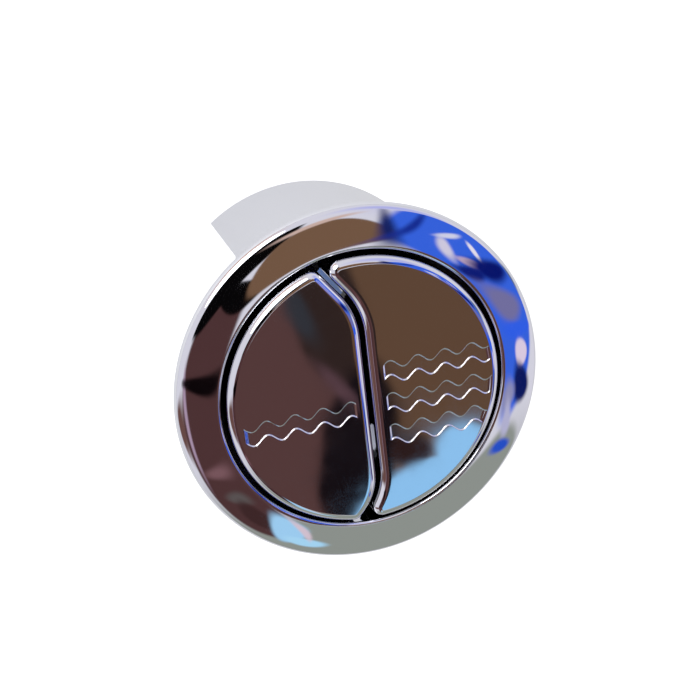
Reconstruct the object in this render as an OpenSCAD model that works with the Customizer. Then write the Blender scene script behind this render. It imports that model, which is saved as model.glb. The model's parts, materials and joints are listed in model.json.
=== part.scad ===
// Dual flush pushbutton for a cistern lid: chromed flange and windowed barrel,
// two sprung chromed caps split by a bowed gap, and the push mechanism below.
// Millimetres. Z = 0 is the plane of the lid, +Z points out of the button face,
// and the gap between the caps runs along Y, with the large cap towards +X.

/* [Flange] */
// Width of the flange outside the barrel
flange_w = 5; // [4:0.5:9]
// Radius of the rolled outer edge of the flange
rim_roll = 1.5; // [1.2:0.1:1.8]
// Height of the flange's lower edge above the lid
rim_gap = 0.2; // [0.1:0.1:0.6]
// Steepness of the flange face at its outer edge, in degrees from the axis
face_start_angle = 70; // [66:1:74]
// Steepness of the flange face at the lip, in degrees from the axis
face_end_angle = 87; // [84:1:89]
// Radius of the rounded lip round the bore
lip_roll = 0.6; // [0.4:0.1:0.8]

/* [Barrel] */
// Outside diameter of the barrel, which passes through the lid
barrel_d = 58; // [57:0.5:59.5]
// Length of the barrel below the lid
barrel_len = 38; // [30:0.5:45]
// Wall of the barrel
barrel_wall = 1.6; // [1.4:0.1:2]
// Step from the barrel out to the ring that fills the lid's hole
lid_ring_step = 0.4; // [0.3:0.05:0.5]
// Step from the collar's bore out to the barrel's, which the carrier rests against
collar_step = 1.2; // [0.8:0.1:1.6]
// Chamfer round the free end of the barrel
end_chamfer = 0.5; // [0.3:0.1:0.7]
// Width of the wide window, on the side of the small cap
wide_window_w = 47.5; // [40:0.5:49]
// Width of the narrow window, on the side of the large cap
narrow_window_w = 30; // [24:0.5:36]
// Radius of the upper corners of both windows
window_corner = 3.5; // [2:0.1:5]
// Solid wall left between the collar step and the windows
window_land = 0.8; // [0.6:0.1:1.4]

/* [Caps] */
// Clearance between the caps and the collar's bore, on each side
caps_clear = 0.8; // [0.5:0.1:1]
// Height of the caps' tops above the lip
caps_proud = 1.2; // [0.8:0.1:1.5]
// Gap between the two caps
cap_gap = 0.7; // [0.5:0.1:1]
// Radius of the rolled edge of the caps
cap_roll = 1.5; // [1:0.1:1.8]
// Wall of the caps' skirts
cap_wall = 1.3; // [1:0.1:1.5]
// Thickness of the caps' tops
cap_top_t = 1.5; // [1.2:0.1:1.8]
// Depth of the caps from the top to the lower edge of the skirt
cap_depth = 8.6; // [8.4:0.1:10]
// How far a cap travels when it is pressed
travel = 5.5; // [4:0.1:5.6]
// Clearance under a pressed cap's skirt, above the carrier
press_clear = 0.85; // [0.4:0.05:1.5]

/* [Gap between the caps] */
// Distance of the straight middle of the gap from the axis
divider_x = 0.5; // [0:0.1:1.5]
// Height on the face at which the upper bend starts
upper_bend_y = 11; // [9:0.5:14]
// Radius of the upper bend
upper_bend_r = 14; // [11:0.5:17]
// Angle that the upper bend turns through
upper_bend_angle = 36; // [30:1:42]
// Height on the face at which the lower bend starts
lower_bend_y = -16; // [-18:0.5:-14]
// Radius of the lower bend
lower_bend_r = 11.5; // [10:0.5:14]
// Angle that the lower bend turns through
lower_bend_angle = 47; // [38:1:50]

/* [Wave ribbons] */
// Length of one wave
wave_len = 5.15; // [4.5:0.05:6]
// Height of a wave from its trough to its crest
wave_h = 1.56; // [1:0.02:2]
// Height of a ribbon between its two wavy edges
ribbon_h = 2.9; // [2:0.1:3.4]
// Distance between the middles of two ribbons
ribbon_pitch = 6.2; // [5.6:0.1:7]
// Height on the face of the middle of the ribbon that both caps share
ribbon_y = -3; // [-5:0.1:0]
// Place of a wave crest on the large cap
large_crest_x = 9.6; // [8:0.05:12]
// Place of a wave crest on the small cap
small_crest_x = -3.4; // [-6:0.05:-2]
// Sideways step of the crests from one ribbon to the next one up
ribbon_step = 0.2; // [0:0.05:0.6]
// Where the ribbons of the large cap start
large_ribbon_x = 3.4; // [3:0.1:6]
// Where the ribbon of the small cap ends
small_ribbon_x = -2.3; // [-5:0.1:-2]
// Depth of the ribbons in the caps
ribbon_depth = 0.2; // [0.1:0.05:0.35]

/* [Slides and guides] */
// Distance of the small cap's stem from the axis
small_stem_x = 11.5; // [10.5:0.1:12]
// Distance of the large cap's stem from the axis
large_stem_x = 12.5; // [11:0.1:13.5]
// Diameter of the stems
stem_d = 9; // [8.6:0.1:9.6]
// Running clearance of a stem in its guide, on each side
stem_clear = 0.06; // [0.03:0.01:0.09]
// Wall of the guide tubes
guide_wall = 1.6; // [1.2:0.1:1.8]
// Clearance between the guide tubes and a pressed slide
guide_clear = 0.6; // [0.4:0.1:1.5]
// Length of the guide tubes below the carrier plate
guide_drop = 13.1; // [10:0.1:15]
// Thickness of the carrier plate
carrier_t = 2.5; // [2:0.1:3]
// Clearance of the carrier in the barrel, on each side
carrier_clear = 0.2; // [0.1:0.05:0.4]
// Thickness of the slides' plates
slide_t = 2; // [1.6:0.1:2.2]
// Clearance of a slide's plate inside its cap
slide_clear = 0.15; // [0.1:0.05:0.3]
// Height of the screw bosses under the caps
boss_h = 2; // [1.6:0.1:2.2]
// Length of a stem below its stop clip
stem_tail = 4.2; // [3:0.1:6]

/* [Springs] */
// Mean diameter of the return springs
spring_d = 15; // [14.6:0.1:15.4]
// Wire of the return springs
spring_wire = 0.75; // [0.6:0.05:0.75]
// Turns of the return springs
spring_turns = 4; // [3:0.5:4]

/* [Rods and small parts] */
// Diameter of the push rods
rod_d = 6; // [5:0.1:6.2]
// Length of a push rod below the end of its stem
rod_drop = 35; // [20:0.5:60]
// How far a push rod is screwed into its stem
rod_grip = 13; // [8:0.5:16]
// Clearance round the push rods, on each side
rod_clear = 0.05; // [0.02:0.01:0.1]
// Width across the flats of the lock nuts
nut_flats = 10; // [9:0.1:12]
// Height of the lock nuts
nut_h = 4; // [3:0.1:5]
// Thickness of the stop clips
clip_t = 0.8; // [0.6:0.05:1]
// Width of the stop clips' rings outside the stem
clip_w = 2; // [1.4:0.1:2.4]
// Thickness of the rubber buffer rings
buffer_t = 1; // [0.8:0.1:1.6]
// Thickness of the gasket under the flange
gasket_t = 1.2; // [0.8:0.1:1.4]
// Clearance of the gasket in its groove, on each side
gasket_clear = 0.3; // [0.3:0.05:0.5]
// Height of the snap ring that holds the carrier
snap_h = 1.2; // [0.8:0.1:1.4]
// How far the snap ring reaches into the barrel wall
snap_bite = 0.5; // [0.3:0.1:0.6]

/* [Hidden] */

chrome_colour = "silver";
moulding_colour = "darkslategray";
rod_colour = "steelblue";
rubber_colour = "black";
steel_colour = "lightslategray";

// flange section
barrel_r = barrel_d / 2;
flange_r = barrel_r + flange_w;
barrel_inner_r = barrel_r - barrel_wall;
bore_r = barrel_inner_r - collar_step;
caps_r = bore_r - caps_clear;
rim_x = flange_r - rim_roll;
rim_z = rim_gap + rim_roll;
face_x = rim_x + rim_roll * cos(face_start_angle);
face_z = rim_z + rim_roll * sin(face_start_angle);
lip_x = bore_r + lip_roll;
face_r = (face_x - lip_x - lip_roll * cos(face_end_angle)) / (cos(face_start_angle) - cos(face_end_angle));
lip_z = face_z + face_r * (sin(face_end_angle) - sin(face_start_angle)) - lip_roll * sin(face_end_angle);
lip_top = lip_z + lip_roll;
rim_land = 0.2;
lid_ring_r = barrel_r + lid_ring_step;
neck_step = 0.5;
neck_r = lid_ring_r + neck_step;
groove_r = rim_x - rim_land;
rim_steps = 10;
face_steps = 5;
lip_steps = 5;

// small features that follow the pieces they belong to
stem_r = stem_d / 2;
guide_bore_r = stem_r + stem_clear;
guide_r = guide_bore_r + guide_wall;
rod_r = rod_d / 2;
rod_hole_r = rod_r + rod_clear;
rod_tip_roll = 0.35 * rod_r;
groove_depth = 0.7;
clip_groove_r = stem_r - groove_depth;
ring_clear = 0.05;
spring_boss_clear = 0.5;
spring_boss_r = spring_d / 2 - spring_wire / 2 - spring_boss_clear;
spring_boss_h = 0.8;
closed_turns = 0.75;
rib_t = 1.6;
rib_drop = 8;
rib_reach = 22;
key_clear = 0.4;
key_inset = 0.2;
vent_r = 4;
vent_y = 17;
screw_r = 1;
screw_head_r = 1.9;
screw_head_h = 1;
screw_hole_clear = 0.2;
screw_y = 12;
slot_w = 0.4;
slot_depth = 0.5;
boss_r = 2.3;
screw_bite = 0.7;
snap_w = 1.1;
snap_gap_angle = 24;
small_ribbon_margin = 1;
clip_gap_angle = 90;
overlap = 0.01;

// levels of the caps, the slides and the mechanism
cap_top = lip_top + caps_proud;
ceiling_z = cap_top - cap_top_t;
skirt_z = cap_top - cap_depth;
plate_top = ceiling_z - boss_h;
plate_z = plate_top - slide_t;
carrier_top = skirt_z - travel - press_clear;
carrier_z = carrier_top - carrier_t;
guide_top = plate_z - spring_boss_h - travel - guide_clear;
window_top = carrier_top - window_land;
guide_z = carrier_z - guide_drop;
buffer_z = guide_z - buffer_t;
clip_z = buffer_z - clip_t;
stem_z = clip_z - stem_tail;
nut_z = stem_z - nut_h;
rod_z = stem_z - rod_drop;

// steps of the cap outline and of its rolled edge
bend_steps = 9;
arc_steps = 44;
roll_steps = 5;
ribbon_steps = 12;

// points of an arc, from angle a0 to angle a1
function arc(x, y, r, a0, a1, n) =
    [for (i = [0 : n]) let (a = a0 + (a1 - a0) * i / n) [x + r * cos(a), y + r * sin(a)]];

// The gap's centre line, carried sideways by d (+ towards the large cap).
// Each end is one bend and then a straight tangent out to the circle of radius r.
// up is 1 for the upper end and -1 for the lower one.
function bend_y(up) = up > 0 ? upper_bend_y : lower_bend_y;
function bend_r(up, d) = (up > 0 ? upper_bend_r : lower_bend_r) + d;
function bend_angle(up) = up > 0 ? upper_bend_angle : lower_bend_angle;
function bend_centre(up) = [divider_x - bend_r(up, 0), bend_y(up)];
function bend_point(up, d, a) = bend_centre(up) + bend_r(up, d) * [cos(a), up * sin(a)];
// length of the straight tangent from the end of the bend to the circle
function tangent_len(up, d, r) = let (
        p = bend_point(up, d, bend_angle(up)),
        u = [-sin(bend_angle(up)), up * cos(bend_angle(up))],
        b = p * u
    ) -b + sqrt(max(0, b * b - p * p + r * r));
// whether the bend ends inside the circle
function bend_fits(up, d, r) = norm(bend_point(up, d, bend_angle(up))) < r;
// share of the bend that lies inside the circle, found by halving
function bend_share(up, d, r, lo = 0, hi = 1, n = 14) =
    n == 0 ? (lo + hi) / 2 :
    let (m = (lo + hi) / 2)
    norm(bend_point(up, d, m * bend_angle(up))) < r
        ? bend_share(up, d, r, m, hi, n - 1)
        : bend_share(up, d, r, lo, m, n - 1);
// points from the straight middle out to the circle, evenly along the path
function end_path(up, d, r) = let (
        fits = bend_fits(up, d, r),
        turn = bend_angle(up) * (fits ? 1 : bend_share(up, d, r)),
        bend_l = bend_r(up, d) * turn * PI / 180,
        line_l = fits ? tangent_len(up, d, r) : 0,
        u = [-sin(bend_angle(up)), up * cos(bend_angle(up))]
    ) [for (i = [0 : bend_steps]) let (s = (bend_l + line_l) * i / bend_steps)
        s <= bend_l
            ? bend_point(up, d, turn * s / bend_l)
            : bend_point(up, d, bend_angle(up)) + (s - bend_l) * u];

function reversed(list) = [for (i = [len(list) - 1 : -1 : 0]) list[i]];

// Outline of a cap, anticlockwise, drawn in by inset all round.
// side is 1 for the large cap and -1 for the small one.
function cap_outline(side, inset) = let (
        r = caps_r - inset,
        d = side * (cap_gap / 2 + inset),
        upper = end_path(1, d, r),
        lower = end_path(-1, d, r),
        a0 = atan2(upper[bend_steps][1], upper[bend_steps][0]),
        a1 = atan2(lower[bend_steps][1], lower[bend_steps][0]),
        sweep = side > 0 ? a1 - a0 : a1 + 360 - a0,
        path = concat(
            reversed(lower),
            upper,
            [for (i = [1 : arc_steps - 1]) let (a = a0 + sweep * i / arc_steps) r * [cos(a), sin(a)]])
    ) side > 0 ? reversed(path) : path;

// A closed solid through rings of equally many points, each ring [outline, z]
module loft(rings) {
    n = len(rings[0][0]);
    m = len(rings);
    points = [for (ring = rings) for (p = ring[0]) [p[0], p[1], ring[1]]];
    sides = [for (j = [0 : m - 2]) for (i = [0 : n - 1])
        for (t = [0, 1])
            t == 0 ? [j * n + i, (j + 1) * n + i, j * n + (i + 1) % n]
                   : [(j + 1) * n + i, (j + 1) * n + (i + 1) % n, j * n + (i + 1) % n]];
    first = [[for (i = [0 : n - 1]) i]];
    last = [[for (i = [n - 1 : -1 : 0]) (m - 1) * n + i]];
    polyhedron(points, concat(sides, first, last), convexity = 6);
}

// Shell of a cap: ceiling and inner wall, lower edge, skirt, rolled edge and top
module cap_shell(side) {
    rings = concat(
        [[cap_outline(side, cap_wall), ceiling_z],
         [cap_outline(side, cap_wall), skirt_z],
         [cap_outline(side, 0), skirt_z]],
        [for (i = [0 : roll_steps]) let (a = 90 * i / roll_steps)
            [cap_outline(side, cap_roll * (1 - cos(a))), cap_top - cap_roll * (1 - sin(a))]]
    );
    loft(rings);
}

// Wavy band between x0 and x1 about the height y, with a crest at crest_x
module ribbon(x0, x1, y, crest_x) {
    n = ceil((x1 - x0) / wave_len * ribbon_steps);
    xs = [for (i = [0 : n]) x0 + (x1 - x0) * i / n];
    wave = [for (x = xs) wave_h / 2 * cos(360 * (x - crest_x) / wave_len)];
    upper = [for (i = [0 : n]) [xs[i], y + ribbon_h / 2 + wave[i]]];
    lower = [for (i = [n : -1 : 0]) [xs[i], y - ribbon_h / 2 + wave[i]]];
    polygon(concat(upper, lower));
}

// Ribbons of one cap, kept inside the flat of its top
module ribbons(side) {
    intersection() {
        polygon(cap_outline(side, cap_roll));
        union() {
            if (side > 0)
                for (i = [-1 : 1])
                    ribbon(large_ribbon_x, caps_r, ribbon_y + i * ribbon_pitch, large_crest_x + i * ribbon_step);
            else
                ribbon(-caps_r + cap_roll + small_ribbon_margin, small_ribbon_x, ribbon_y, small_crest_x);
        }
    }
}

// Places of a cap's two screws: one each side of the stem
module at_screws(side) {
    x = side > 0 ? large_stem_x : -small_stem_x;
    for (y = [-screw_y, screw_y]) translate([x, y, 0]) children();
}

module cap(side) {
    color(chrome_colour) difference() {
        union() {
            cap_shell(side);
            at_screws(side) translate([0, 0, plate_top])
                cylinder(h = boss_h + overlap, r = boss_r, $fn = 32);
        }
        translate([0, 0, cap_top - ribbon_depth]) linear_extrude(1) ribbons(side);
        at_screws(side) translate([0, 0, plate_top - 1])
            cylinder(h = boss_h + 1 + screw_bite, r = screw_r, $fn = 32);
    }
}

// Plate inside the cap, with the stem that runs in the guide
module slide(side) {
    x = side > 0 ? large_stem_x : -small_stem_x;
    color(moulding_colour) difference() {
        union() {
            translate([0, 0, plate_z]) linear_extrude(slide_t)
                polygon(cap_outline(side, cap_wall + slide_clear));
            translate([x, 0, plate_z - spring_boss_h])
                cylinder(h = spring_boss_h + overlap, r = spring_boss_r, $fn = 48);
            translate([x, 0, stem_z])
                cylinder(h = plate_z - stem_z + overlap, r = stem_r, $fn = 48);
        }
        translate([x, 0, stem_z - 1]) cylinder(h = rod_grip + 1, r = rod_hole_r, $fn = 48);
        translate([x, 0, clip_z]) difference() {
            cylinder(h = clip_t, r = stem_r + 1, $fn = 48);
            cylinder(h = clip_t, r = clip_groove_r, $fn = 48);
        }
        at_screws(side) translate([0, 0, plate_z - 1])
            cylinder(h = slide_t + 2, r = screw_r + screw_hole_clear, $fn = 32);
    }
}

// Two pan head screws, driven up through the slide into the cap's bosses
module cap_screws(side) {
    color(steel_colour) at_screws(side) {
        translate([0, 0, plate_z])
            cylinder(h = slide_t + boss_h + screw_bite, r = screw_r, $fn = 32);
        translate([0, 0, plate_z - screw_head_h]) difference() {
            cylinder(h = screw_head_h, r = screw_head_r, $fn = 32);
            for (a = [0, 90]) rotate(a)
                translate([-screw_head_r / 2, -slot_w / 2, -overlap]) cube([screw_head_r, slot_w, slot_depth]);
        }
    }
}

// Height of the wire's centre after a share t of the coil: closed turns at both ends
function coil_z(t, z0, z1) = let (
        closed = closed_turns / spring_turns,
        low = min(1, t / closed),
        high = max(0, (t - 1 + closed) / closed),
        middle = max(0, min(1, (t - closed) / (1 - 2 * closed)))
    ) z0 + spring_wire / 2 * (1 + low + high) + (z1 - z0 - 2 * spring_wire) * middle;

// Compression spring from z0 to z1, a coil of round wire
module spring(x, z0, z1) {
    ring_steps = 20;
    wire_sides = 6;
    n = spring_turns * ring_steps;
    points = [for (i = [0 : n]) let (t = i / n, a = 360 * spring_turns * t, z = coil_z(t, z0, z1))
        for (j = [0 : wire_sides - 1]) let (b = 360 * (j + 0.5) / wire_sides)
            [(spring_d / 2 + spring_wire / 2 * cos(b)) * cos(a),
             (spring_d / 2 + spring_wire / 2 * cos(b)) * sin(a),
             z + spring_wire / 2 * sin(b)]];
    sides = [for (i = [0 : n - 1]) for (j = [0 : wire_sides - 1])
        let (k = (j + 1) % wire_sides, p = i * wire_sides, q = p + wire_sides)
        for (t = [0, 1]) t == 0 ? [p + j, q + j, p + k] : [q + j, q + k, p + k]];
    first = [[for (j = [0 : wire_sides - 1]) j]];
    last = [[for (j = [wire_sides - 1 : -1 : 0]) n * wire_sides + j]];
    color(steel_colour) translate([x, 0, 0]) polyhedron(points, concat(sides, first, last), convexity = 10);
}

// Rubber ring between the guide and the stop clip
module buffer(x) {
    color(rubber_colour) translate([x, 0, buffer_z]) difference() {
        cylinder(h = buffer_t, r = guide_r, $fn = 48);
        translate([0, 0, -1]) cylinder(h = buffer_t + 2, r = guide_bore_r, $fn = 48);
    }
}

// Snap-on clip in the stem's groove, open at one side
module stop_clip(x) {
    side_x = (guide_r + clip_w) * tan(clip_gap_angle / 2);
    color(steel_colour) translate([x, 0, clip_z]) difference() {
        cylinder(h = clip_t, r = stem_r + clip_w, $fn = 48);
        translate([0, 0, -1]) cylinder(h = clip_t + 2, r = clip_groove_r + ring_clear, $fn = 48);
        translate([0, 0, -1]) linear_extrude(clip_t + 2)
            polygon([[0, 0], [side_x, -guide_r - clip_w], [-side_x, -guide_r - clip_w]]);
    }
}

// Push rod, round at its lower end
module rod(x) {
    color(rod_colour) translate([x, 0, 0]) rotate_extrude($fn = 48)
        polygon(concat([[0, stem_z + rod_grip], [0, rod_z]],
                       arc(rod_r - rod_tip_roll, rod_z + rod_tip_roll, rod_tip_roll, -90, 0, 6),
                       [[rod_r, stem_z + rod_grip]]));
}

module lock_nut(x) {
    color(rod_colour) translate([x, 0, nut_z]) difference() {
        cylinder(h = nut_h, r = nut_flats / 2 / cos(30), $fn = 6);
        translate([0, 0, -1]) cylinder(h = nut_h + 2, r = rod_hole_r, $fn = 48);
    }
}

// Cross-section of one window: open at the barrel's free end, round upper corners
module window_shape(w) {
    depth = barrel_len + 1 + window_top;
    corners = concat(
        arc(w / 2 - window_corner, window_top - window_corner, window_corner, 0, 90, 8),
        arc(-w / 2 + window_corner, window_top - window_corner, window_corner, 90, 180, 8));
    polygon(concat(corners, [[-w / 2, window_top - depth], [w / 2, window_top - depth]]));
}

// A window cut straight through one side of the barrel
module window(side, w) {
    rotate([90, 0, side > 0 ? 90 : -90]) linear_extrude(barrel_r + 1) window_shape(w);
}

// Flange, collar and barrel in one revolved piece, with the two windows
module flange_barrel() {
    section = concat(
        [[barrel_inner_r, carrier_top], [barrel_inner_r, carrier_z],
         [barrel_inner_r + snap_bite, carrier_z], [barrel_inner_r + snap_bite, carrier_z - snap_h],
         [barrel_inner_r, carrier_z - snap_h], [barrel_inner_r, -barrel_len],
         [barrel_r - end_chamfer, -barrel_len], [barrel_r, -barrel_len + end_chamfer],
         [barrel_r, carrier_top], [lid_ring_r, carrier_top + lid_ring_step],
         [lid_ring_r, 0],
         [neck_r, 0],
         [neck_r, gasket_t],
         [groove_r, gasket_t],
         [groove_r, rim_gap]],
        arc(rim_x, rim_z, rim_roll, -90, face_start_angle, rim_steps),
        [for (i = [1 : face_steps - 1])
            let (a = face_start_angle + (face_end_angle - face_start_angle) * i / face_steps)
            [face_x + face_r * (cos(a) - cos(face_start_angle)), face_z + face_r * (sin(a) - sin(face_start_angle))]],
        arc(lip_x, lip_z, lip_roll, face_end_angle, 180, lip_steps),
        [[bore_r, carrier_top]]);
    color(chrome_colour) difference() {
        rotate_extrude($fn = 96) polygon(section);
        window(-1, wide_window_w);
        window(1, narrow_window_w);
    }
}

// Soft ring in the groove under the flange
module lid_gasket() {
    color(rubber_colour) rotate_extrude($fn = 96)
        translate([neck_r + gasket_clear, 0]) square([groove_r - neck_r - 2 * gasket_clear, gasket_t]);
}

// Key on the carrier's edge that fits a window and stops the carrier turning
module carrier_key(side, w) {
    span = w - 2 * window_corner - key_clear;
    reach = barrel_r - key_inset;
    intersection() {
        translate([0, 0, carrier_z]) cylinder(h = window_top - carrier_z, r = reach, $fn = 96);
        translate([side > 0 ? reach / 2 : -reach, -span / 2, carrier_z])
            cube([reach / 2, span, window_top - carrier_z]);
    }
}

// half the width of the circle that the ribs reach, at the distance x from its middle
function chord(x) = sqrt(rib_reach * rib_reach - x * x);

// Moulded plate with two guide tubes, ribs, vents and the two keys
module guide_carrier() {
    stems = [-small_stem_x, large_stem_x];
    color(moulding_colour) difference() {
        union() {
            translate([0, 0, carrier_z])
                cylinder(h = carrier_t, r = barrel_inner_r - carrier_clear, $fn = 96);
            carrier_key(-1, wide_window_w);
            carrier_key(1, narrow_window_w);
            for (x = stems) {
                translate([x, 0, guide_z]) cylinder(h = guide_top - guide_z, r = guide_r, $fn = 48);
                translate([x - rib_t / 2, -chord(x), carrier_z - rib_drop])
                    cube([rib_t, 2 * chord(x), rib_drop + overlap]);
            }
            translate([-rib_reach, -rib_t / 2, carrier_z - rib_drop])
                cube([2 * rib_reach, rib_t, rib_drop + overlap]);
        }
        for (x = stems)
            translate([x, 0, guide_z - 1]) cylinder(h = guide_top - guide_z + 2, r = guide_bore_r, $fn = 48);
        for (y = [-vent_y, vent_y])
            translate([divider_x, y, carrier_z - 1]) cylinder(h = carrier_t + 2, r = vent_r, $fn = 32);
    }
}

// Flat spring ring under the carrier, open at one side
module carrier_snap_ring() {
    outer = barrel_inner_r + snap_bite - ring_clear;
    color(steel_colour) translate([0, 0, carrier_z - snap_h])
        rotate([0, 0, 90 + snap_gap_angle / 2]) rotate_extrude(angle = 360 - snap_gap_angle, $fn = 96)
            translate([outer - snap_w, 0]) square([snap_w, snap_h]);
}

module half_flush_cap() cap(-1);
module half_flush_slide() slide(-1);
module half_flush_cap_screws() cap_screws(-1);
module half_flush_spring() spring(-small_stem_x, carrier_top, plate_z);
module half_flush_buffer() buffer(-small_stem_x);
module half_flush_stop_clip() stop_clip(-small_stem_x);
module half_flush_rod() rod(-small_stem_x);
module half_flush_lock_nut() lock_nut(-small_stem_x);
module full_flush_cap() cap(1);
module full_flush_slide() slide(1);
module full_flush_cap_screws() cap_screws(1);
module full_flush_spring() spring(large_stem_x, carrier_top, plate_z);
module full_flush_buffer() buffer(large_stem_x);
module full_flush_stop_clip() stop_clip(large_stem_x);
module full_flush_rod() rod(large_stem_x);
module full_flush_lock_nut() lock_nut(large_stem_x);

flange_barrel();
lid_gasket();
guide_carrier();
carrier_snap_ring();
half_flush_cap();
half_flush_slide();
half_flush_cap_screws();
half_flush_spring();
half_flush_buffer();
half_flush_stop_clip();
half_flush_rod();
half_flush_lock_nut();
full_flush_cap();
full_flush_slide();
full_flush_cap_screws();
full_flush_spring();
full_flush_buffer();
full_flush_stop_clip();
full_flush_rod();
full_flush_lock_nut();
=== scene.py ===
import json
import math

import bmesh
import bpy
import numpy as np
from mathutils import Matrix


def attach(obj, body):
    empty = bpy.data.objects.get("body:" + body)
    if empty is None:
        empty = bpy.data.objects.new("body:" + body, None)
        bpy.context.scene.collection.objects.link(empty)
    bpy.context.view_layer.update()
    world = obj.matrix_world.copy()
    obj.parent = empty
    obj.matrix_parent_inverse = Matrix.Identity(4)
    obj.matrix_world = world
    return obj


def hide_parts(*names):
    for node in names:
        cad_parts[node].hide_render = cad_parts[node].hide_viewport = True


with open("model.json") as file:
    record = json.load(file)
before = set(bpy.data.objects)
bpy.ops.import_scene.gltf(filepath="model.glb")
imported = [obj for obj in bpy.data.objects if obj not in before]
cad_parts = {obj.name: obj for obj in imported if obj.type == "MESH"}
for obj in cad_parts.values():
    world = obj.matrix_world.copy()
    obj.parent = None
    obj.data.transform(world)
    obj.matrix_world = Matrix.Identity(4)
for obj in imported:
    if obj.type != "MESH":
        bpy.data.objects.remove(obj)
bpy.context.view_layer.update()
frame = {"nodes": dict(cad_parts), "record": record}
mm = 0.001


def arcPoints(x, y, radius, startAngle, endAngle, steps):
    # points on a circle about (x, y), evenly in angle, both ends included
    a = np.radians(np.linspace(startAngle, endAngle, steps + 1))
    return np.stack([x + radius * np.cos(a), y + radius * np.sin(a)], axis=1)


def gridFaces(rows, columns, closed, start):
    # quads between neighbours of a grid; closed joins the last column to the first
    r = np.arange(rows - 1)[:, None]
    c = np.arange(columns if closed else columns - 1)[None, :]
    nextC = (c + 1) % columns
    corners = [r * columns + c, r * columns + nextC, (r + 1) * columns + nextC, (r + 1) * columns + c]
    return np.stack([np.broadcast_to(k, (rows - 1, c.shape[1])) for k in corners], axis=-1).reshape(-1, 4) + start


def buildPiece(name, grids, body, node, creaseAngle=35, marks=None):
    # grids: (points [rows, columns, 3] in mm, closed) joined into one skin, doubles merged
    points, faces, start = [], [], 0
    for grid, closed in grids:
        rows, columns = grid.shape[:2]
        points.append(grid.reshape(-1, 3))
        faces.append(gridFaces(rows, columns, closed, start))
        start += rows * columns
    mesh = bpy.data.meshes.new(name)
    mesh.from_pydata((np.concatenate(points) * mm).tolist(), [], np.concatenate(faces).tolist())
    if marks is not None:
        layer = mesh.attributes.new("ribbonFloor", "FLOAT", "POINT")
        layer.data.foreach_set("value", marks.astype(np.float32))
    sheet = bmesh.new()
    sheet.from_mesh(mesh)
    bmesh.ops.remove_doubles(sheet, verts=sheet.verts, dist=2e-7)
    bmesh.ops.dissolve_degenerate(sheet, edges=sheet.edges, dist=1e-8)
    bmesh.ops.recalc_face_normals(sheet, faces=sheet.faces)
    sheet.to_mesh(mesh)
    sheet.free()
    mesh.polygons.foreach_set("use_smooth", [True] * len(mesh.polygons))
    mesh.set_sharp_from_angle(angle=math.radians(creaseAngle))
    piece = bpy.data.objects.new(name, mesh)
    bpy.context.scene.collection.objects.link(piece)
    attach(piece, body)
    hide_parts(*([node] if isinstance(node, str) else node))
    return piece


def linear(red, green, blue):
    # a screen colour of 0 to 255 as the light values that the shader wants
    c = np.array([red, green, blue]) / 255
    c = np.where(c <= 0.04045, c / 12.92, ((c + 0.055) / 1.055) ** 2.4)
    return (float(c[0]), float(c[1]), float(c[2]), 1.0)


def addNode(tree, kind, inputs=None, **settings):
    node = tree.nodes.new(kind)
    for key, value in settings.items():
        setattr(node, key, value)
    for key, value in (inputs or {}).items():
        socket = node.inputs[key]
        if isinstance(value, bpy.types.NodeSocket):
            tree.links.new(value, socket)
        else:
            socket.default_value = value
    return node


def newMaterial(name):
    material = bpy.data.materials.new(name)
    material.use_nodes = True
    material.node_tree.nodes.clear()
    return material, material.node_tree


def finishMaterial(tree, shader):
    addNode(tree, "ShaderNodeOutputMaterial", {"Surface": shader.outputs[0]})


def mixColours(tree, factor, first, second):
    node = addNode(tree, "ShaderNodeMix", data_type="RGBA")
    for index, value in ((0, factor), (6, first), (7, second)):
        if isinstance(value, bpy.types.NodeSocket):
            tree.links.new(value, node.inputs[index])
        else:
            node.inputs[index].default_value = value
    return node.outputs[2]


chromeSettings = {
    "plate": linear(236, 237, 243),
    "gloss": 0.035,          # roughness of the clean plate
    "ribbonGloss": 0.07,     # roughness on the ribbons' floor
    "rippleScale": 90,       # faint unevenness of the moulding under the plate
    "rippleHeight": 0.00002,
}


def chromeMaterial(name, hasRibbons):
    material, tree = newMaterial(name)
    place = addNode(tree, "ShaderNodeTexCoord").outputs["Object"]
    ripple = addNode(tree, "ShaderNodeTexNoise", {"Vector": place, "Scale": chromeSettings["rippleScale"],
                                                  "Detail": 1.0})
    bump = addNode(tree, "ShaderNodeBump", {"Height": ripple.outputs["Fac"], "Strength": 1.0,
                                            "Distance": chromeSettings["rippleHeight"]})
    haze = addNode(tree, "ShaderNodeTexNoise", {"Vector": place, "Scale": 240.0, "Detail": 4.0})
    gloss = addNode(tree, "ShaderNodeMapRange", {"Value": haze.outputs["Fac"], "From Min": 0.35, "From Max": 0.75,
                                                 "To Min": chromeSettings["gloss"] * 0.8,
                                                 "To Max": chromeSettings["gloss"] * 1.5}).outputs[0]
    if hasRibbons:
        floor = addNode(tree, "ShaderNodeAttribute", attribute_name="ribbonFloor").outputs["Fac"]
        gloss = addNode(tree, "ShaderNodeMapRange", {"Value": floor, "To Min": gloss,
                                                     "To Max": chromeSettings["ribbonGloss"]}).outputs[0]
    shader = addNode(tree, "ShaderNodeBsdfPrincipled", {"Base Color": chromeSettings["plate"], "Metallic": 1.0,
                                                        "Roughness": gloss, "Normal": bump.outputs[0]})
    finishMaterial(tree, shader)
    return material


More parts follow.
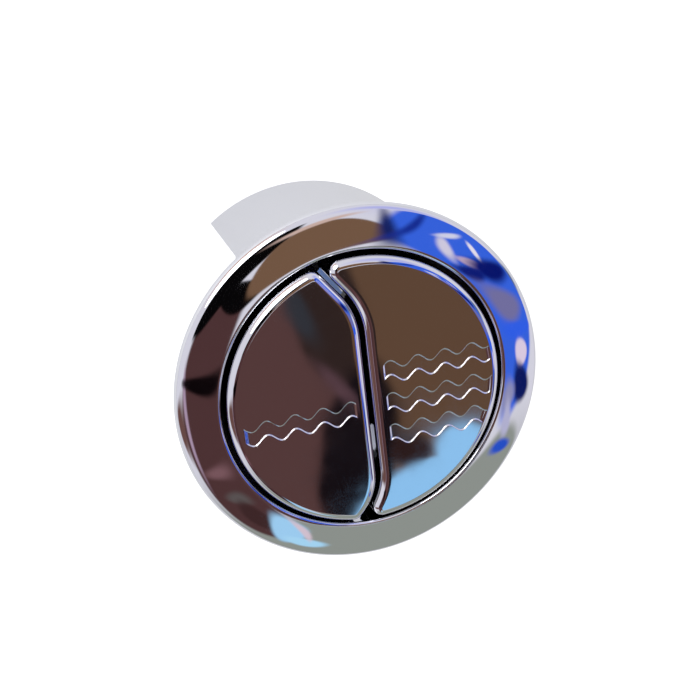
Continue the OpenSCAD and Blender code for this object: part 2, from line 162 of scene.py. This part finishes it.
def mouldedMaterial(name, colour, gloss, grainScale=700.0, grainHeight=0.00001, metal=0.0):
    material, tree = newMaterial(name)
    place = addNode(tree, "ShaderNodeTexCoord").outputs["Object"]
    grain = addNode(tree, "ShaderNodeTexNoise", {"Vector": place, "Scale": grainScale, "Detail": 3.0})
    bump = addNode(tree, "ShaderNodeBump", {"Height": grain.outputs["Fac"], "Strength": 0.6, "Distance": grainHeight})
    tone = addNode(tree, "ShaderNodeTexNoise", {"Vector": place, "Scale": 110.0, "Detail": 4.0})
    dark = tuple(0.78 * c for c in colour[:3]) + (1.0,)
    shade = mixColours(tree, tone.outputs["Fac"], dark, colour)
    rough = addNode(tree, "ShaderNodeMapRange", {"Value": tone.outputs["Fac"], "From Min": 0.3, "From Max": 0.7,
                                                 "To Min": gloss - 0.06, "To Max": gloss + 0.06}).outputs[0]
    shader = addNode(tree, "ShaderNodeBsdfPrincipled", {"Base Color": shade, "Metallic": metal, "Roughness": rough,
                                                        "Normal": bump.outputs[0]})
    finishMaterial(tree, shader)
    return material


flangeSizes = {
    "flangeRadius": 34.0, "rimRoll": 1.5, "rimGap": 0.2, "faceStart": 70.0, "faceEnd": 87.0,
    "lipRoll": 0.6, "boreRadius": 26.2, "barrelRadius": 29.0, "barrelInner": 27.4, "ringRadius": 29.4,
    "neckRadius": 29.9, "grooveRadius": 32.3, "grooveTop": 1.2, "collarEnd": -9.382, "windowTop": -10.182,
    "barrelEnd": -38.0, "endChamfer": 0.5, "wideWindow": 47.5, "narrowWindow": 30.0, "windowCorner": 3.5,
    "snapTop": -11.882, "snapHeight": 1.2, "snapBite": 0.5,
    "legSteps": 96, "wideSteps": 104, "narrowSteps": 60,
}


def windowHalfWidth(width, z):
    # straight below the round corner; in the corner, a quarter circle about its centre
    s = flangeSizes
    c = s["windowCorner"]
    up = np.clip(z - (s["windowTop"] - c), 0, c)
    return width / 2 - c + np.sqrt(np.maximum(c * c - up * up, 0))


def flangeShell():
    # ring: the wall's section turned about Z. legs: the wall between the windows, whose edges
    # are planes of constant y, so each row runs between the two angles where the wall meets them
    s = flangeSizes
    rimX = s["flangeRadius"] - s["rimRoll"]
    rimZ = s["rimGap"] + s["rimRoll"]
    first, last = np.radians(s["faceStart"]), np.radians(s["faceEnd"])
    faceX = rimX + s["rimRoll"] * np.cos(first)
    faceZ = rimZ + s["rimRoll"] * np.sin(first)
    lipX = s["boreRadius"] + s["lipRoll"]
    faceR = (faceX - lipX - s["lipRoll"] * np.cos(last)) / (np.cos(first) - np.cos(last))
    lipZ = faceZ + faceR * (np.sin(last) - np.sin(first)) - s["lipRoll"] * np.sin(last)
    outer = np.concatenate([
        [[s["barrelRadius"], s["windowTop"]], [s["barrelRadius"], s["collarEnd"]],
         [s["ringRadius"], s["collarEnd"] + s["ringRadius"] - s["barrelRadius"]], [s["ringRadius"], -4.0],
         [s["ringRadius"], 0], [s["neckRadius"], 0], [s["neckRadius"], s["grooveTop"]],
         [s["grooveRadius"], s["grooveTop"]], [s["grooveRadius"], s["rimGap"]]],
        arcPoints(rimX, rimZ, s["rimRoll"], -90, s["faceStart"], 56),
        arcPoints(faceX - faceR * np.cos(first), faceZ - faceR * np.sin(first), faceR,
                  s["faceStart"], s["faceEnd"], 34)[1:],
        arcPoints(lipX, lipZ, s["lipRoll"], s["faceEnd"], 180, 22)[1:]])
    inner = np.array([[s["boreRadius"], z] for z in np.linspace(lipZ - 0.2, s["collarEnd"], 8)]
                     + [[s["barrelInner"], s["collarEnd"]], [s["barrelInner"], s["windowTop"]]])
    section = np.concatenate([outer, inner])

    def edgeAngles(radius, z):
        narrow = np.arcsin(windowHalfWidth(s["narrowWindow"], z) / radius)
        wide = np.pi - np.arcsin(windowHalfWidth(s["wideWindow"], z) / radius)
        return narrow, wide

    def columnAngles(radius):
        # the ring's columns meet those of the legs at the windows' top
        narrow, wide = edgeAngles(radius, s["windowTop"])
        stops = [narrow, wide, 2 * np.pi - wide, 2 * np.pi - narrow, 2 * np.pi + narrow]
        steps = [s["legSteps"], s["wideSteps"], s["legSteps"], s["narrowSteps"]]
        return np.concatenate([np.linspace(a, b, n, endpoint=False) for a, b, n in zip(stops, stops[1:], steps)])

    outerAngles, innerAngles = columnAngles(s["barrelRadius"]), columnAngles(s["barrelInner"])
    share = np.concatenate([np.zeros(len(outer)), np.linspace(0, 1, len(inner) - 1), [1]])[:, None]
    angles = outerAngles * (1 - share) + innerAngles * share
    ring = np.stack([section[:, :1] * np.cos(angles), section[:, :1] * np.sin(angles),
                     np.broadcast_to(section[:, 1:], angles.shape)], axis=-1)
    grids = [(ring, True)]

    # undersides of the ring over the two windows
    marks = np.cumsum([0, s["legSteps"], s["wideSteps"], s["legSteps"], s["narrowSteps"]])
    for start, end in ((marks[1], marks[2]), (marks[3], marks[4])):
        pick = np.arange(start, end + 1) % marks[4]
        grids.append((np.stack([ring[0, pick], ring[-1, pick]]), False))

    # legs, with the snap ring's groove inside and the chamfer at the free end
    corner = s["windowTop"] - s["windowCorner"] * (1 - np.cos(np.radians(np.linspace(0, 90, 19))))
    snapEnd = s["snapTop"] - s["snapHeight"]
    z = np.concatenate([corner[corner > s["snapTop"]], [s["snapTop"]] * 2,
                        corner[(corner < s["snapTop"]) & (corner > snapEnd)], [snapEnd] * 2,
                        corner[corner < snapEnd], [-18.0, -24.0, -30.0, s["barrelEnd"] + s["endChamfer"], s["barrelEnd"]]])
    order = np.arange(len(z))
    firstSnap, lastSnap = np.flatnonzero(z == s["snapTop"]), np.flatnonzero(z == snapEnd)
    inGroove = (order >= firstSnap[1]) & (order <= lastSnap[0])
    innerR = s["barrelInner"] + s["snapBite"] * inGroove
    outerR = np.where(order == len(z) - 1, s["barrelRadius"] - s["endChamfer"], s["barrelRadius"])
    across = np.linspace(0, 1, s["legSteps"] + 1)[None, :]
    for side in (1, -1):
        walls = []
        for radius in (outerR, innerR):
            narrow, wide = edgeAngles(radius, z)
            a = narrow[:, None] * (1 - across) + wide[:, None] * across
            walls.append(np.stack([radius[:, None] * np.cos(a), side * radius[:, None] * np.sin(a),
                                   np.broadcast_to(z[:, None], a.shape)], axis=-1))
        grids += [(walls[0], False), (walls[1], False),
                  (np.stack([walls[0][:, 0], walls[1][:, 0]]), False),
                  (np.stack([walls[0][:, -1], walls[1][:, -1]]), False),
                  (np.stack([walls[0][-1], walls[1][-1]]), False)]
    return buildPiece("flangeShell", grids, "housing", "flange_barrel")


capSizes = {
    "radius": 25.4, "gap": 0.7, "roll": 1.5, "wall": 1.3, "top": 5.568, "ceiling": 4.068, "skirt": -3.032,
    "dividerX": 0.5, "upperY": 11.0, "upperRadius": 14.0, "upperAngle": 36.0,
    "lowerY": -16.0, "lowerRadius": 11.5, "lowerAngle": 47.0,
    "corner": 2.0,           # rounding of the outline where the gap meets the round edge
    "waveLength": 5.15, "waveHeight": 1.56, "ribbonHeight": 2.9, "ribbonPitch": 6.2, "ribbonY": -3.0,
    "ribbonStep": 0.2, "ribbonDepth": 0.2, "ribbonBevel": 0.22,
    "bossTop": 4.3, "bossEnd": 2.068, "bossRadius": 2.3, "bossHole": 1.0, "screwY": 12.0,
}


def capEdge(side):
    # closed line that lies sizes["corner"] inside the cap's outline, with its normals into the cap:
    # straight middle, bends, tangents, points with fanned normals at the corners, and the circle
    s = capSizes
    inset = s["corner"]
    radius = s["radius"] - inset
    shift = side * (s["gap"] / 2 + inset)

    def endPath(up):
        # bend about its centre, then the tangent out to the circle
        turn = np.radians(s["upperAngle"] if up > 0 else s["lowerAngle"])
        bendR = (s["upperRadius"] if up > 0 else s["lowerRadius"])
        centre = np.array([s["dividerX"] - bendR, s["upperY"] if up > 0 else s["lowerY"]])
        bendR = bendR + shift
        a = np.linspace(0, turn, 400)
        bend = centre + bendR * np.stack([np.cos(a), up * np.sin(a)], axis=1)
        normal = side * np.stack([np.cos(a), up * np.sin(a)], axis=1)
        inside = np.hypot(bend[:, 0], bend[:, 1]) < radius
        if not inside.all():
            cut = np.argmin(inside)
            low, high = a[cut - 1], a[cut]
            for step in range(40):
                middle = (low + high) / 2
                p = centre + bendR * np.array([np.cos(middle), up * np.sin(middle)])
                low, high = (middle, high) if np.hypot(*p) < radius else (low, middle)
            a = np.linspace(0, low, 400)
            circle = np.stack([np.cos(a), up * np.sin(a)], axis=1)
            return centre + bendR * circle, side * circle
        along = np.array([-np.sin(turn), up * np.cos(turn)])
        b = bend[-1] @ along
        length = -b + np.sqrt(b * b - bend[-1] @ bend[-1] + radius * radius)
        line = bend[-1] + np.linspace(0, length, 200)[1:, None] * along
        return (np.concatenate([bend, line]),
                np.concatenate([normal, np.repeat(normal[-1:], len(line), axis=0)]))

    def fan(point, fromNormal, toNormal):
        a0 = np.arctan2(fromNormal[1], fromNormal[0])
        turn = (np.arctan2(toNormal[1], toNormal[0]) - a0 + np.pi) % (2 * np.pi) - np.pi
        a = a0 + turn * np.linspace(0, 1, 200)
        return np.repeat(point[None], 200, axis=0), np.stack([np.cos(a), np.sin(a)], axis=1)

    upper, upperN = endPath(1)
    lower, lowerN = endPath(-1)
    share = np.linspace(0, 1, 800)[1:-1, None]
    straight = lower[0] * (1 - share) + upper[0] * share
    dividerP = np.concatenate([lower[::-1], straight, upper])
    dividerN = np.concatenate([lowerN[::-1], np.repeat(upperN[:1], len(straight), axis=0), upperN])
    topCorner = fan(upper[-1], upperN[-1], -upper[-1] / radius)
    endCorner = fan(lower[-1], -lower[-1] / radius, lowerN[-1])
    a0, a1 = np.arctan2(upper[-1][1], upper[-1][0]), np.arctan2(lower[-1][1], lower[-1][0])
    sweep = a1 - a0 if side > 0 else a1 + 2 * np.pi - a0
    a = a0 + sweep * np.linspace(0, 1, 3000)
    round = np.stack([np.cos(a), np.sin(a)], axis=1)
    points = np.concatenate([dividerP, topCorner[0], radius * round, endCorner[0]])
    normals = np.concatenate([dividerN, topCorner[1], -round, endCorner[1]])
    return points, normals


def capSkin(side):
    # top: rows run from the gap's side to the round side and follow the waves; the ribbons are sunk
    # with soft shoulders. The rolled edge, skirt, lower edge, inner wall and ceiling follow the same rows
    s = capSizes
    k = "full" if side > 0 else "half"
    edge, normal = capEdge(side)
    flat = edge + (s["roll"] - s["corner"]) * normal
    length = np.concatenate([[0], np.cumsum(np.hypot(*np.diff(flat, axis=0).T))])
    high, low = np.argmax(flat[:, 1]), np.argmin(flat[:, 1])
    count = len(flat)

    def stretch(start, end):
        # indices of the closed line from start to end, forwards
        return np.arange(start, end + 1) if end >= start else np.concatenate([np.arange(start, count), np.arange(0, end + 1)])

    ways = (stretch(low, high), stretch(high, low)[::-1])     # both from the lowest point to the highest
    gapFirst = abs(flat[ways[0], 0][np.argmin(abs(flat[ways[0], 1]))]) < abs(flat[ways[1], 0][np.argmin(abs(flat[ways[1], 1]))])
    gapWay, roundWay = ways if gapFirst else ways[::-1]

    crestX = 9.6 if side > 0 else -3.4
    ribbons = [-1, 0, 1] if side > 0 else [0]
    zoneLow = s["ribbonY"] + ribbons[0] * s["ribbonPitch"] - s["ribbonHeight"] / 2 - 1.2
    zoneHigh = s["ribbonY"] + ribbons[-1] * s["ribbonPitch"] + s["ribbonHeight"] / 2 + 1.2

    def wave(x, v):
        lean = s["ribbonStep"] * (v - s["ribbonY"]) / s["ribbonPitch"] if side > 0 else 0
        return s["waveHeight"] / 2 * np.cos(2 * np.pi * (x - crestX - lean) / s["waveLength"])

    shoulder = np.array([0.04, 0, -0.035, -0.07, -0.11, -0.15, -0.19, -0.22, -0.26])
    heights = [zoneLow, zoneLow + 0.5]
    for i in ribbons:
        mid = s["ribbonY"] + i * s["ribbonPitch"]
        half = s["ribbonHeight"] / 2
        heights += list(mid - half - shoulder) + list(np.linspace(mid - 0.8, mid + 0.8, 4)) + list(mid + half + shoulder)
        if i != ribbons[-1]:
            gapLow = mid + half + 0.05
            gapHigh = mid + s["ribbonPitch"] - half - 0.05
            heights += list(np.linspace(gapLow, gapHigh, 7)[1:-1])
    heights = np.array(sorted(heights + [zoneHigh - 0.5, zoneHigh]))

    def endsOnEdge(way):
        # places on the edge where y is the row's height plus the wave there
        line, turn = flat[way], normal[way]
        v = line[:, 1] - wave(line[:, 0], line[:, 1])
        keep = np.abs(line[:, 1]) < 15
        order = np.argsort(v[keep])
        where = np.interp(heights, v[keep][order], np.flatnonzero(keep)[order])
        return where

    def rowsOnEdge(way):
        # rows below, in and above the ribbons' zone, as positions along the edge
        inZone = endsOnEdge(way)
        run = np.concatenate([[0], np.cumsum(np.hypot(*np.diff(flat[way], axis=0).T)
                                             + 0.35 * np.hypot(*np.diff(normal[way], axis=0).T))])
        ease = (1 - np.cos(np.linspace(0, np.pi / 2, 47))) * 0.35 + np.linspace(0, 1, 47) * 0.65
        place = np.arange(len(way))
        below = np.interp(np.interp(inZone[0], place, run) * ease, run, place)
        top = np.interp(inZone[-1], place, run)
        above = np.interp(run[-1] - (run[-1] - top) * ease, run, place)[::-1]
        return np.concatenate([below[:-1], inZone, above[1:]])

    def sample(way, where, offset):
        # points of the edge carried out by an offset along their normals
        line = edge[way] + (offset - s["corner"]) * normal[way]
        place = np.arange(len(way))
        return np.stack([np.interp(where, place, line[:, 0]), np.interp(where, place, line[:, 1])], axis=1)

    gapRows, roundRows = rowsOnEdge(gapWay), rowsOnEdge(roundWay)
    outside = 46
    v = np.concatenate([np.full(outside, heights[0]), heights, np.full(outside, heights[-1])])
    blend = np.concatenate([np.linspace(0, 1, outside), np.ones(len(heights)), np.linspace(1, 0, outside)])
    blend = np.clip((blend - 0.55) / 0.45, 0, 1)
    blend = blend * blend * (3 - 2 * blend)

    gapEnds, roundEnds = sample(gapWay, gapRows, s["roll"]), sample(roundWay, roundRows, s["roll"])
    width = np.abs(roundEnds[:, 0] - gapEnds[:, 0])
    tight = np.clip(width / 8, 1e-6, 1)
    wallAt = (3.4 - 2.35) if side > 0 else (-1.35 + 2.3)
    nearGap = np.concatenate([[0, 0.45, wallAt - 0.08], wallAt + np.array([0, 0.05, 0.1, 0.16, 0.22, 0.27, 0.32, 0.4])])
    nearRound = np.array([0, 0.12, 0.24, 0.36, 0.48, 0.6, 0.75, 0.95])
    middle = np.linspace(0, 1, 118)[1:-1]
    start = nearGap[-1] * tight / np.maximum(width, 1e-6)
    end = 1 - nearRound[-1] * tight / np.maximum(width, 1e-6)
    t = np.concatenate([nearGap[None, :] * (tight / np.maximum(width, 1e-6))[:, None],
                        start[:, None] + (end - start)[:, None] * middle[None, :],
                        1 - nearRound[::-1][None, :] * (tight / np.maximum(width, 1e-6))[:, None]], axis=1)
    t = np.clip(t, 0, 1)
    x = gapEnds[:, :1] * (1 - t) + roundEnds[:, :1] * t
    y = gapEnds[:, 1:] * (1 - t) + roundEnds[:, 1:] * t
    ends = wave(gapEnds[:, :1], v[:, None]) * (1 - t) + wave(roundEnds[:, :1], v[:, None]) * t
    y = y + blend[:, None] * (wave(x, v[:, None]) - ends)

    def soft(q):
        q = np.clip(q, 0, 1)
        return q * q * (3 - 2 * q)

    sink = np.zeros_like(x)
    for i in ribbons:
        mid = s["ribbonY"] + i * s["ribbonPitch"]
        inBand = soft((s["ribbonHeight"] / 2 - np.abs(v - mid)) / s["ribbonBevel"])[:, None]
        fromGap = np.abs(x - gapEnds[:, :1])
        atWall = soft((fromGap - wallAt) / 0.3)
        reach = np.hypot(x, y)
        fade = soft((23.75 - reach) / 0.5) if side > 0 else soft((22.9 - np.abs(x)) / 0.6)
        sink = np.maximum(sink, inBand * atWall * fade * np.concatenate(
            [np.zeros(outside), np.ones(len(heights)), np.zeros(outside)])[:, None])
    top = np.stack([x, y, s["top"] - s["ribbonDepth"] * sink], axis=-1)

    # loop of edge places: up the gap's side, down the round side
    def loop(inset, z):
        line = np.concatenate([sample(gapWay, gapRows, inset), sample(roundWay, roundRows, inset)[-2:0:-1]])
        return np.concatenate([line, np.full((len(line), 1), z)], axis=1)

    bend = np.radians(np.linspace(90, 0, 23))
    levels = [(s["roll"] * (1 - np.cos(a)), s["top"] - s["roll"] * (1 - np.sin(a))) for a in bend]
    levels += [(0, 2.0), (0, 0.0), (0, s["skirt"]), (s["wall"], s["skirt"]), (s["wall"], s["ceiling"])]
    wall = np.stack([loop(inset, z) for inset, z in levels])
    gapIn, roundIn = sample(gapWay, gapRows, s["wall"]), sample(roundWay, roundRows, s["wall"])
    pick = np.unique(np.linspace(0, t.shape[1] - 1, 9).astype(int))
    tc = t[:, pick]
    ceiling = np.stack([gapIn[:, :1] * (1 - tc) + roundIn[:, :1] * tc, gapIn[:, 1:] * (1 - tc) + roundIn[:, 1:] * tc,
                        np.full(tc.shape, s["ceiling"])], axis=-1)
    grids = [(top, False), (wall, True), (ceiling, False)]
    stemX = 12.5 if side > 0 else -11.5
    a = np.radians(np.linspace(0, 360, 32, endpoint=False))
    tube = [(s["bossHole"], s["bossTop"]), (s["bossHole"], s["bossEnd"]), (s["bossRadius"], s["bossEnd"]),
            (s["bossRadius"], s["bossTop"]), (s["bossHole"], s["bossTop"])]
    for screwY in (-s["screwY"], s["screwY"]):
        grids.append((np.stack([np.stack([stemX + r * np.cos(a), screwY + r * np.sin(a), np.full(a.shape, z)], axis=1)
                                for r, z in tube]), True))
    marks = np.zeros(sum(g.shape[0] * g.shape[1] for g, c in grids))
    marks[:sink.size] = sink.ravel()
    return buildPiece(k + "CapSkin", grids, k + "_button", k + "_flush_cap", marks=marks)


chrome = chromeMaterial("polishedChrome", False)
chromeCap = chromeMaterial("polishedChromeCap", True)
darkMoulding = mouldedMaterial("darkMoulding", linear(48, 48, 50), 0.42)
blueMoulding = mouldedMaterial("blueMoulding", linear(60, 105, 170), 0.35)
blackRubber = mouldedMaterial("blackRubber", linear(34, 34, 35), 0.6)
springSteel = mouldedMaterial("springSteel", linear(185, 187, 192), 0.28, metal=1.0)

flange = flangeShell()
flange.data.materials.append(chrome)
print("flange built")
for capSide in (-1, 1):
    capSkin(capSide).data.materials.append(chromeCap)
print("caps built")

finishes = {"dark_moulding": darkMoulding, "blue_moulding": blueMoulding, "black_rubber": blackRubber,
            "spring_steel": springSteel, "chrome_plate": chrome}
slotOf = {part["node"]: part["material_slot"] for part in frame["record"]["subparts"]}
for nodeName, nodeObject in frame["nodes"].items():
    nodeObject.data.materials.clear()
    nodeObject.data.materials.append(finishes[slotOf[nodeName]])
print("finishes laid")


# Soft cards that the chrome mirrors. A direction's place is x/(1+z), y/(1+z), so 0,0 is straight up
# and 1 is level. Each card: place, half sizes, turn in degrees, softness, colour
studioCards = [
    ("peachWall", (-0.62, 0.95), (0.3, 0.5), 25, 0.7, (226, 190, 175)),
    ("lavenderWall", (0.34, 0.40), (0.18, 0.2), 0, 0.8, (186, 188, 240)),
    ("greyFloorGlow", (0.1, -0.82), (0.6, 0.42), 0, 0.35, (150, 154, 146)),
    ("brownWedge", (-0.5, -0.26), (0.34, 0.1), 5, 0.4, (110, 78, 72)),
    ("steelCorner", (0.68, -0.02), (0.22, 0.07), 10, 0.6, (92, 112, 150)),
    ("blueWall", (0.38, -0.05), (0.215, 0.28), 0, 0.07, (58, 104, 228)),
    ("greyTable", (0.2, -0.56), (0.34, 0.25), -12, 0.06, (150, 155, 146)),
    ("maroonWall", (-0.12, -0.25), (0.155, 0.3), 5, 0.06, (82, 54, 54)),
    ("paleStrip", (-0.25, -0.22), (0.012, 0.14), 8, 0.6, (180, 155, 176)),
    ("blackShelf", (-0.13, -0.152), (0.17, 0.016), -12, 0.3, (12, 6, 8)),
    ("maroonSheen", (-0.12, -0.31), (0.1, 0.012), 22, 0.7, (128, 92, 96)),
    ("greySheen", (-0.09, -0.36), (0.07, 0.014), 30, 0.6, (96, 88, 86)),
    ("maroonFoot", (-0.07, -0.42), (0.05, 0.07), -40, 0.3, (66, 42, 42)),
    ("blackFrame", (-0.12, 0.115), (0.19, 0.085), 40, 0.08, (7, 6, 7)),
    ("blackTongue", (-0.06, -0.015), (0.12, 0.032), -42, 0.1, (7, 6, 7)),
    ("warmShelf", (0.075, 0.03), (0.115, 0.135), 0, 0.05, (122, 92, 70)),
    ("peachLedge", (0.06, 0.165), (0.1, 0.013), 8, 0.5, (214, 184, 170)),
    ("navyEdge", (0.19, 0.045), (0.014, 0.16), -13, 0.8, (22, 36, 100)),
    ("blueCrease", (0.25, 0.07), (0.011, 0.14), -38, 0.8, (24, 48, 150)),
    ("whiteArcLow", (0.262, -0.035), (0.013, 0.065), -28, 0.5, (222, 216, 232)),
    ("whiteArcHigh", (0.325, 0.04), (0.05, 0.011), 22, 0.5, (222, 222, 240)),
    ("pinkPatch", (0.3, -0.065), (0.042, 0.014), 15, 0.4, (238, 208, 224)),
    ("whiteBar", (0.375, 0.0), (0.012, 0.036), -15, 0.4, (242, 236, 246)),
    ("navyPatch", (0.4, -0.055), (0.125, 0.032), 12, 0.45, (8, 22, 110)),
    ("navyTail", (0.27, -0.105), (0.065, 0.015), 22, 0.4, (14, 30, 120)),
    ("lavenderBand", (0.38, -0.14), (0.13, 0.035), 3, 0.4, (122, 118, 165)),
    ("blueBand", (0.42, -0.19), (0.16, 0.016), -2, 0.4, (52, 100, 238)),
    ("pinkWindow", (0.42, -0.235), (0.068, 0.026), -8, 0.2, (234, 216, 234)),
    ("navyLow", (0.42, -0.3), (0.1, 0.035), -28, 0.3, (12, 26, 96)),
    ("greyGleam", (0.29, -0.27), (0.06, 0.02), -20, 0.5, (150, 150, 188)),
    ("lavenderStreak", (0.33, -0.33), (0.07, 0.018), -48, 0.5, (190, 188, 216)),
    ("blueStreak", (0.37, -0.41), (0.1, 0.015), -36, 0.4, (40, 84, 205)),
    ("skyPatch", (-0.02, -0.45), (0.034, 0.13), -23, 0.2, (168, 218, 250)),
    ("skyFoot", (-0.01, -0.54), (0.045, 0.05), 0, 0.3, (176, 226, 252)),
    ("pinkEdge", (0.022, -0.42), (0.008, 0.09), -10, 0.5, (225, 205, 215)),
    ("brownDoor", (0.166, -0.212), (0.062, 0.1), 0, 0.03, (100, 74, 56)),
    ("maroonDoor", (0.06, -0.22), (0.05, 0.1), 0, 0.03, (90, 62, 60)),
    ("darkPanel", (0.112, -0.182), (0.014, 0.03), 0, 0.1, (50, 37, 34)),
    ("steelStreak", (0.1, -0.18), (0.004, 0.014), 20, 0.5, (52, 54, 60)),
    ("blackPanel", (0.115, -0.24), (0.016, 0.036), -18, 0.12, (22, 16, 20)),
    ("mauveRay", (0.112, -0.214), (0.0025, 0.013), 35, 0.6, (92, 66, 72)),
    ("skyDoor", (0.145, -0.264), (0.04, 0.0155), 12, 0.05, (150, 206, 248)),
    ("skyBulge", (0.159, -0.246), (0.013, 0.01), 0, 0.15, (150, 206, 248)),
    ("darkBlob", (0.136, -0.2435), (0.009, 0.0065), 0, 0.2, (46, 28, 26)),
]


def studioWorld():
    world = bpy.data.worlds.new("studioWorld")
    world.use_nodes = True
    bpy.context.scene.world = world
    tree = world.node_tree
    tree.nodes.clear()
    way = addNode(tree, "ShaderNodeSeparateXYZ", {0: addNode(tree, "ShaderNodeTexCoord").outputs["Generated"]})
    rise = addNode(tree, "ShaderNodeMath", {0: way.outputs[2], 1: 1.0}, operation="ADD").outputs[0]
    rise = addNode(tree, "ShaderNodeMath", {0: rise, 1: 0.02}, operation="MAXIMUM").outputs[0]
    u = addNode(tree, "ShaderNodeMath", {0: way.outputs[0], 1: rise}, operation="DIVIDE").outputs[0]
    v = addNode(tree, "ShaderNodeMath", {0: way.outputs[1], 1: rise}, operation="DIVIDE").outputs[0]
    place = addNode(tree, "ShaderNodeCombineXYZ", {0: u, 1: v}).outputs[0]
    colour = linear(226, 224, 232)
    for name, centre, half, turn, softness, paint in studioCards:
        mapped = addNode(tree, "ShaderNodeMapping", {"Vector": place, "Location": (*centre, 0),
                                                     "Rotation": (0, 0, math.radians(turn)), "Scale": (*half, 1)},
                         vector_type="TEXTURE", label=name)
        reach = addNode(tree, "ShaderNodeVectorMath", {0: mapped.outputs[0]}, operation="LENGTH").outputs["Value"]
        share = addNode(tree, "ShaderNodeMapRange", {"Value": reach, "From Min": 1 - softness, "From Max": 1 + softness,
                                                     "To Min": 1.0, "To Max": 0.0}, interpolation_type="SMOOTHSTEP")
        colour = mixColours(tree, share.outputs[0], colour, linear(*paint))
    rays = addNode(tree, "ShaderNodeLightPath")
    colour = mixColours(tree, rays.outputs["Is Glossy Ray"], (0.8, 0.8, 0.82, 1), colour)
    colour = mixColours(tree, rays.outputs["Is Camera Ray"], colour, (1, 1, 1, 1))
    back = addNode(tree, "ShaderNodeBackground", {"Color": colour, "Strength": 1.0})
    addNode(tree, "ShaderNodeOutputWorld", {"Surface": back.outputs[0]})


def studioFloor():
    mesh = bpy.data.meshes.new("studioFloor")
    size, level = 1.5, -0.0725    # clear of the rods when both caps are pressed
    mesh.from_pydata([(-size, -size, level), (size, -size, level), (size, size, level), (-size, size, level)],
                     [], [(0, 1, 2, 3)])
    floor = bpy.data.objects.new("studioFloor", mesh)
    bpy.context.scene.collection.objects.link(floor)
    material, tree = newMaterial("studioFloor")
    rays = addNode(tree, "ShaderNodeLightPath")
    glow = addNode(tree, "ShaderNodeMath", {0: rays.outputs["Is Camera Ray"], 1: 0.5}, operation="MULTIPLY").outputs[0]
    shader = addNode(tree, "ShaderNodeBsdfPrincipled", {"Base Color": (0.75, 0.75, 0.75, 1), "Roughness": 0.8,
                                                        "Emission Color": (1, 1, 1, 1), "Emission Strength": glow})
    finishMaterial(tree, shader)
    mesh.materials.append(material)


def studioLamp():
    data = bpy.data.lights.new("softLamp", "AREA")
    data.shape = "DISK"
    data.size = 0.5
    data.energy = 2.2
    lamp = bpy.data.objects.new("softLamp", data)
    bpy.context.scene.collection.objects.link(lamp)
    lamp.location = (-0.32, 0.42, 0.42)
    lamp.rotation_euler = (-lamp.location).to_track_quat("-Z", "Y").to_euler()


def photoCamera():
    # seen from above and in front of the face, turned a little, as in the photograph
    data = bpy.data.cameras.new("photoCamera")
    data.lens = 66.857
    data.sensor_width = 36.0
    data.clip_start = 0.01
    camera = bpy.data.objects.new("photoCamera", data)
    bpy.context.scene.collection.objects.link(camera)
    right, up, forward = (0.95225, -0.10970, 0.28493), (0.20621, 0.91929, -0.33524), (0.22516, -0.37799, -0.89801)
    rows = [[right[i], up[i], -forward[i]] for i in range(3)]
    camera.matrix_world = Matrix.Translation((-0.05342, 0.09489, 0.20962)) @ Matrix(rows).to_4x4()
    bpy.context.scene.camera = camera


studioWorld()
studioFloor()
studioLamp()
photoCamera()
view = bpy.context.scene.view_settings
view.view_transform = "Standard"
print("studio ready")
